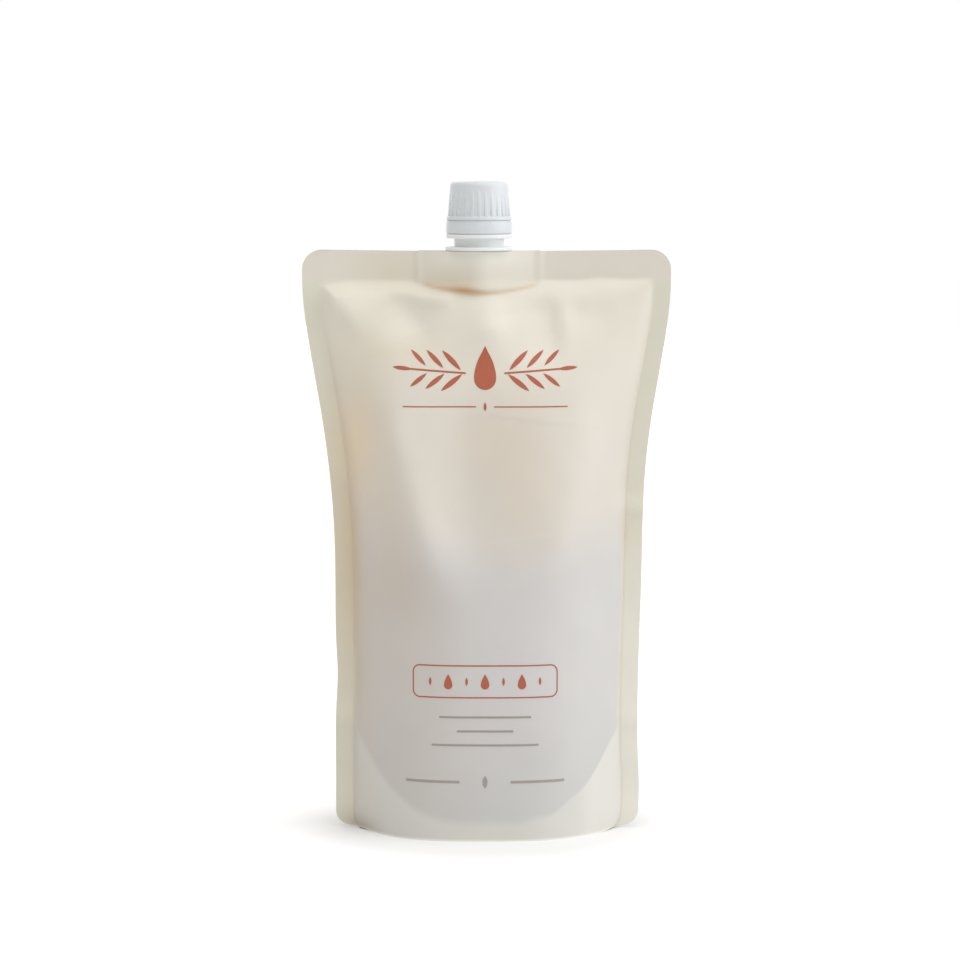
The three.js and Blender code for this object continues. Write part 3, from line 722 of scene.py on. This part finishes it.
# Cuts the flat patches into small cells, lays them on the film and gives the ink its thickness.
def layOnFilm(name, patches, side, creases):
    ink = joined(name, patches)
    activate(ink)
    places = np.array([vertex.co[:2] for vertex in ink.data.vertices]) / mm
    bpy.ops.object.mode_set(mode="EDIT")
    for axis in (0, 1):
        first, last = places[:, axis].min(), places[:, axis].max()
        for at in np.arange(first + 0.37, last, inks["cell"]):
            bpy.ops.mesh.select_all(action="SELECT")
            spot = (at * mm, 0, 0) if axis == 0 else (0, at * mm, 0)
            bpy.ops.mesh.bisect(plane_co=spot, plane_no=(1 - axis, axis, 0))
    bpy.ops.object.mode_set(mode="OBJECT")
    flat = np.array([vertex.co[:2] for vertex in ink.data.vertices]) / mm
    onto = onFilm(-side * flat[:, 0], flat[:, 1], side, creases)
    onto[:, 1] += side * inks["lift"]
    ink.data.vertices.foreach_set("co", (onto * mm).astype(np.float32).ravel())
    ink.data.update()
    applyModifier(ink, "SOLIDIFY", thickness=inks["thickness"] * mm, offset=0)
    finishMesh(ink, merge=0.001, angle=60)
    return ink


def makeFrontPrint():
    middle, sprig = inks["middle"], inks["sprig"]
    warm = [inkDrop(17, 9.5, (middle, sprig))]
    for hand in (-1, 1):
        warm.append(inkBar(22, 0.7, (middle + hand * 18.5, sprig - 1.3), hand * 4))
        for reach, length, width in ((11.5, 10.5, 4.4), (18, 9.5, 4.0), (24.5, 8.5, 3.6)):
            for over in (-1, 1):
                tilt = 42 * over * hand + 4 * hand
                place = (middle + hand * (reach + 1.6), sprig - 2.2 + reach * 0.07 + over * 4.3)
                warm.append(inkLeaf(length, width, place, tilt))
        warm.append(inkLeaf(8, 3.4, (middle + hand * 32.5, sprig - 0.3), hand * 5))
        warm.append(inkBar(29, 0.45, (middle + hand * 18, inks["rule"])))
    warm.append(inkLeaf(3.4, 2.4, (middle, inks["rule"]), 90))
    warm.append(inkOutline(*inks["fieldSize"], 0.5, (middle, inks["field"])))
    for k in range(-3, 4):
        if k % 2:
            warm.append(inkLeaf(3.2, 2.2, (middle + 7.2 * k, inks["field"]), 90))
        else:
            warm.append(inkDrop(6, 3.6, (middle + 7.2 * k, inks["field"])))
    grey = [inkBar(length, 0.8, (middle, at)) for length, at in zip((36, 22, 42), inks["bars"])]
    foot = inks["foot"]
    grey += [inkBar(22, 1.0, (middle + away, foot)) for away in (-21, 21)]
    grey.append(inkLeaf(5, 4.2, (middle, foot), 90))
    return layOnFilm("frontPrintWarm", warm, -1, frontCreases), layOnFilm("frontPrintGrey", grey, -1, frontCreases)


def makeBackPrint():  # the photograph doesn't show the back: a quiet block of bars under a small sprig
    grey = [inkBar(74 - 9 * (k % 3), 0.7, (-2.2 * (k % 3), 152 - 5 * k)) for k in range(12)]
    grey += [inkBar(30, 0.7, (-20, 60)), inkBar(24, 0.7, (-23, 55)), inkBar(27, 0.7, (-21.5, 50))]
    grey.append(inkOutline(26, 20, 0.5, (22, 54)))
    warm = [inkDrop(9, 5, (0, 180))]
    for hand in (-1, 1):
        warm += [inkLeaf(8, 3, (hand * 8, 178), hand * 25), inkLeaf(7, 2.7, (hand * 15, 180), hand * 15)]
    return layOnFilm("backPrintGrey", grey, 1, backCreases), layOnFilm("backPrintWarm", warm, 1, backCreases)


# Gravure ink under a matt varnish: a flat, dense colour that is a touch duller than the film. A grain of some 0.55
# mm stands in for the print's dots, which are too fine to show.
def makeInk(name, colour):
    material, tree, output = newMaterial(name)
    place = addNode(tree, "TexCoord").outputs["Object"]
    dots = addNode(tree, "TexNoise", None, {"Vector": place, "Scale": 1800, "Detail": 2}).outputs["Fac"]
    tone = addNode(tree, "MapRange", None, {**noiseSpan, "Value": dots, "To Min": 0.95, "To Max": 1.05}).outputs[0]
    tinted = addNode(tree, "VectorMath", {"operation": "SCALE"}, {0: srgb(colour)[:3], "Scale": tone}).outputs[0]
    relief = addNode(tree, "Bump", None, {"Height": dots, "Strength": 0.15, "Distance": 0.03 * mm}).outputs[0]
    shader = addNode(tree, "BsdfPrincipled", None, {
        "Base Color": tinted, "Roughness": 0.5, "IOR": 1.5, "Normal": relief,
    })
    tree.links.new(shader.outputs[0], output.inputs[0])
    return material


warmInk, greyInk = makeInk("inkTerracottaGravure", inks["terracotta"]), makeInk("inkGreyGravure", inks["grey"])
frontPrintWarm, frontPrintGrey = makeFrontPrint()
backPrintGrey, backPrintWarm = makeBackPrint()
for piece, ink in (
    (frontPrintWarm, warmInk), (frontPrintGrey, greyInk), (backPrintGrey, greyInk), (backPrintWarm, warmInk),
):
    dress(piece, ink, "pack", None)
print("print: sprig, field and bars on the front, bars on the back")


# Spout, tamper band, cap and liner: smooth versions of the solids

fitment = {
    "x": canoe["centre"], "top": film["height"], "sides": 112,
    "bore": 7.5, "neck": 9.2, "mouth": 24.3,
    "pitch": 3, "threadCrest": 10.15, "threadHalf": (0.6, 0.35), "threadSunk": 0.25,
    "ribs": 28, "ribDepth": 0.4, "bridges": 8,
}
poleRadius = 1e-5  # a ring this small is merged to one point


# A circle primitive extruded from ring to ring: radius and height above the film's edge.
def turnedPiece(name, profile, closed):
    radius, height = max(profile[0][0], poleRadius), profile[0][1]
    centre = (fitment["x"] * mm, 0, (fitment["top"] + height) * mm)
    deselect()
    bpy.ops.mesh.primitive_circle_add(vertices=fitment["sides"], radius=radius * mm, location=centre)
    piece = bpy.context.object
    piece.name = name
    bpy.ops.object.mode_set(mode="EDIT")
    bpy.ops.mesh.select_all(action="SELECT")
    rings = profile[1:] + ([profile[0]] if closed else [])
    for nextRadius, nextHeight in rings:
        bpy.ops.mesh.extrude_region_move(TRANSFORM_OT_translate={"value": (0, 0, (nextHeight - height) * mm)})
        scale = max(nextRadius, poleRadius) / radius
        middle = (fitment["x"] * mm, 0, (fitment["top"] + nextHeight) * mm)
        bpy.ops.transform.resize(value=(scale, scale, 1), center_override=middle)
        radius, height = max(nextRadius, poleRadius), nextHeight
    bpy.ops.mesh.select_all(action="SELECT")
    bpy.ops.mesh.remove_doubles(threshold=0.001 * mm)
    bpy.ops.mesh.normals_make_consistent(inside=False)
    bpy.ops.object.mode_set(mode="OBJECT")
    return piece


# Rounds corners of a profile: edges gives the radius at a corner's number.
def rounded(profile, edges):
    out = []
    count = len(profile)
    for k, corner in enumerate(profile):
        radius = edges.get(k, 0)
        if not radius:
            out.append(corner)
            continue
        here = Vector(corner)
        before, after = Vector(profile[k - 1]) - here, Vector(profile[(k + 1) % count]) - here
        reach = min(radius, before.length * 0.48, after.length * 0.48)
        start, end = here + before.normalized() * reach, here + after.normalized() * reach
        for step in range(5):
            t = step / 4
            out.append(tuple(start * (1 - t) ** 2 + here * 2 * t * (1 - t) + end * t ** 2))
    return out


# A thread's section, a trapezium, carried up a screw line, with its ends run out into the wall.
def threadRidge(name, wall, crest, start, turns):
    centre = (fitment["x"] * mm, 0, fitment["top"] * mm)
    deselect()
    bpy.ops.mesh.primitive_plane_add(size=mm, location=centre, rotation=(math.pi / 2, 0, 0))
    ridge = bpy.context.object
    ridge.name = name
    bpy.ops.object.transform_apply(location=False, rotation=True, scale=True)
    rootHalf, crestHalf = fitment["threadHalf"]
    sunk = wall - fitment["threadSunk"] * (1 if crest > wall else -1)
    for vertex in ridge.data.vertices:
        r, half = (crest, crestHalf) if vertex.co.x > 0 else (sunk, rootHalf)
        vertex.co = (r * mm, 0, (start + (half if vertex.co.z > 0 else -half)) * mm)
    activate(ridge)
    bpy.ops.object.mode_set(mode="EDIT")
    bpy.ops.mesh.select_all(action="SELECT")
    bpy.ops.mesh.delete(type="ONLY_FACE")
    bpy.ops.object.mode_set(mode="OBJECT")
    steps, runOut = int(96 * turns), 12  # steps in all, and at each end
    applyModifier(
        ridge, "SCREW", angle=turns * 2 * math.pi, screw_offset=turns * fitment["pitch"] * mm,
        steps=steps, render_steps=steps, use_merge_vertices=False, use_smooth_shade=False,
    )
    # Each copy of the section is four vertices, one after another.
    for index, vertex in enumerate(ridge.data.vertices):
        step = index // 4
        share = float(smooth(min(step, steps - step) / runOut))
        r = math.hypot(vertex.co.x, vertex.co.y)
        wanted = lerp(sunk, r / mm, lerp(0.12, 1, share)) * mm
        vertex.co.x *= wanted / r
        vertex.co.y *= wanted / r
    closeHoles(ridge)
    return ridge


# Copies of a piece round the spout's axis, each with its own mesh, in the place of the piece itself.
def copiesAround(source, count, start=0.0):
    axis = Matrix.Translation((fitment["x"] * mm, 0, 0))
    copies = []
    for k in range(count):
        copy = source.copy()
        copy.data = source.data.copy()
        copy.data.transform(axis @ Matrix.Rotation((k + start) / count * 2 * math.pi, 4, "Z") @ axis.inverted())
        scene.collection.objects.link(copy)
        copies.append(copy)
    bpy.data.objects.remove(source)
    return copies


# A bevelled block at a radius from the spout's axis, before it is copied round.
def bar(name, size, place, bevel, segments=2):
    deselect()
    bpy.ops.mesh.primitive_cube_add(size=1, location=[v * mm for v in place])
    block = bpy.context.object
    block.name = name
    block.scale = [v * mm for v in size]
    bpy.ops.object.transform_apply(location=True, rotation=True, scale=True)
    bpy.ops.object.mode_set(mode="EDIT")
    bpy.ops.mesh.select_all(action="SELECT")
    bpy.ops.mesh.bevel(offset=bevel * mm, segments=segments, affect="EDGES")
    bpy.ops.object.mode_set(mode="OBJECT")
    return block


# The welded foot, with three grooves along its sides and the soap's way through it.
def makeSpoutFoot():
    stops = [(0, 0)]  # share of the foot's height, and depth of the groove there
    for k in range(3):
        stops += [(0.1 + (k + t) * 0.8 / 3, deep) for t, deep in ((0.1, 0), (0.16, 0.4), (0.44, 0.4), (0.5, 0))]
    stops.append((1, 0))
    across = np.sin(np.linspace(-1.2, 1.2, 61)) / math.sin(1.2) * canoe["length"] / 2
    loops = []
    for share, deep in stops:
        half = np.maximum(canoeHalf(across, 0) - deep, canoe["tipHalf"] / 2)
        height = fitment["top"] + lerp(-canoeTall(across), canoe["gap"], share)
        right = np.stack([across + fitment["x"], -half, height], -1)
        left = (right * (1, -1, 1))[::-1]
        loops.append(np.concatenate([right, left, right[:1]]))
    foot = shapedGrid("spoutFoot", np.stack(loops))
    cutter = turnedPiece("boreCutter", [(fitment["bore"], -20), (fitment["bore"], 1)], closed=False)
    closeHoles(foot)
    closeHoles(cutter)
    applyModifier(foot, "BOOLEAN", operation="DIFFERENCE", object=cutter, solver="EXACT")
    bpy.data.objects.remove(cutter)
    return foot


def makeSpout():
    neck, bore, mouth = fitment["neck"], fitment["bore"], fitment["mouth"]
    waist = neck + 0.6  # between the seal flange and the carry flange
    outline = [
        (neck - 0.1, -1), (neck - 0.1, 0.3), (13.25, 0.3), (13.25, 1.7), (waist, 1.7), (waist, 5.1), (13.0, 5.1),
        (13.0, 6.8), (neck, 6.8), (neck, 10.2), (10.7, 10.2), (10.7, 10.5), (neck, 11.2), (neck, mouth),
        (bore, mouth), (bore, -1),
    ]
    corners = {2: 0.35, 3: 0.35, 4: 0.3, 5: 0.3, 6: 0.35, 7: 0.35, 8: 0.25, 9: 0.2, 13: 0.5, 14: 0.4}
    stem = turnedPiece("spoutStem", rounded(outline, corners), closed=True)
    thread = threadRidge("neckThread", neck, fitment["threadCrest"], mouth - 5.45, 1.25)
    spout = joined("spoutMoulding", [stem, makeSpoutFoot(), thread])
    finishMesh(spout)
    return spout


def makeBand():
    # A thin sleeve stands up inside the gap, where the bridges were cut, and a lip closes the gap below.
    outline = [
        (11.05, 6.9), (12.7, 6.9), (12.7, 7.1), (13.0, 7.1), (13.0, 11.4), (12.7, 11.4), (12.65, 12.08),
        (11.05, 12.08), (11.05, 8.9), (10.05, 8.6), (10.05, 7.6),
    ]
    corners = {3: 0.25, 4: 0.3, 7: 0.15, 9: 0.15, 10: 0.15}
    ring = turnedPiece("bandRing", rounded(outline, corners), closed=True)
    bridge = bar("bridge", (1.1, 0.8, 1.0), (fitment["x"] + 12.25, 0, fitment["top"] + 11.4), 0.12)
    band = joined("tamperRing", [ring, *copiesAround(bridge, fitment["bridges"], 0.5)])
    finishMesh(band)
    return band


def makeCap():
    ground = fitment["ribDepth"]  # the skirt stands back between the ribs
    outline = [
        (10.9, 12.2), (12.85, 12.2), (12.85, 13.7), (12.25 - ground, 13.85), (11.85 - ground, 25.4), (11.3, 26.3),
        (10.8, 26.95), (9.9, 27.3), (8.6, 27.3), (8.35, 27.1), (1.0, 27.1), (0.8, 27.25), (0, 27.25),
    ]
    corners = {1: 0.15, 2: 0.7, 3: 0.3, 4: 0.8, 7: 0.5, 8: 0.1, 9: 0.1, 11: 0.08}
    shell = turnedPiece("capOutside", rounded(outline, corners), closed=False)
    inside = [
        (10.9, 12.2), (10.9, 12.6), (10.5, 13.0), (10.5, 23.4), (9.9, 23.7), (9.9, 24.1), (10.5, 24.4),
        (10.5, 25.8), (0, 25.8),
    ]
    lining = turnedPiece("capInside", rounded(inside, {7: 0.2}), closed=False)
    rib = bar("gripRib", (0.9, 1.25, 12.1), (fitment["x"] + 11.6, 0, fitment["top"] + 19.7), 0.3, 3)
    # A rib leans in with the skirt, and its top runs into the shoulder.
    for vertex in rib.data.vertices:
        height = vertex.co.z / mm - fitment["top"]
        lean = lerp(0.2, -0.2, (height - 13.7) / 11.7) - 0.55 * float(smooth((height - 24.3) / 1.5))
        vertex.co.x += lean * mm
    thread = threadRidge("capThread", 10.5, 9.55, fitment["mouth"] - 6.95, 1)
    cap = joined("screwCap", [shell, lining, *copiesAround(rib, fitment["ribs"]), thread])
    finishMesh(cap)
    return cap


def makeLiner():
    outline = rounded([(0, 24.6), (10.2, 24.6), (10.2, 25.5), (0, 25.5)], {1: 0.25, 2: 0.25})
    disc = turnedPiece("linerDisc", outline[::-1], closed=False)
    finishMesh(disc)
    return disc


spoutMoulding = makeSpout()
tamperRing = makeBand()
screwCap = makeCap()
linerDisc = makeLiner()

# Injection-moulded polyethylene and polypropylene are white with a soft gloss, and cut foam is matt.
plasticLooks = {
    "spoutPolyethyleneMoulded": {"colour": "E8EBEA", "roughness": (0.32, 0.42)},
    "capPolypropyleneMoulded": {"colour": "D5D9DC", "roughness": (0.27, 0.36)},
    "linerFoamCut": {"colour": "F4F3EE", "roughness": (0.7, 0.8)},
}


def makePlastic(name):
    look = plasticLooks[name]
    material, tree, output = newMaterial(name)
    place = addNode(tree, "TexCoord").outputs["Object"]
    # Flow marks of the mould, some 4 mm long, change the gloss, and a grain of 0.3 mm breaks it up.
    flow = addNode(tree, "TexNoise", None, {"Vector": place, "Scale": 250, "Detail": 3}).outputs["Fac"]
    grain = addNode(tree, "TexNoise", None, {"Vector": place, "Scale": 3300, "Detail": 2}).outputs["Fac"]
    low, high = look["roughness"]
    gloss = addNode(tree, "MapRange", None, {**noiseSpan, "Value": flow, "To Min": low, "To Max": high}).outputs[0]
    tone = addNode(tree, "MapRange", None, {
        **noiseSpan, "Value": flow, "To Min": 0.985, "To Max": 1.01,
    }).outputs[0]
    colour = addNode(tree, "VectorMath", {"operation": "SCALE"}, {
        0: srgb(look["colour"])[:3], "Scale": tone,
    }).outputs[0]
    relief = addNode(tree, "Bump", None, {"Height": grain, "Strength": 0.12, "Distance": 0.03 * mm}).outputs[0]
    shader = addNode(tree, "BsdfPrincipled", None, {
        "Base Color": colour, "Roughness": gloss, "IOR": 1.5, "Normal": relief,
    })
    tree.links.new(shader.outputs[0], output.inputs[0])
    return material


spoutPlastic, capPlastic, linerFoam = [makePlastic(name) for name in plasticLooks]
dress(spoutMoulding, spoutPlastic, "pack", "spout")
dress(tamperRing, capPlastic, "pack", "tamper_band")
dress(screwCap, capPlastic, "cap", "screw_cap")
dress(linerDisc, linerFoam, "cap_seal", "cap_liner")
print("fitment: spout, band, cap and liner")
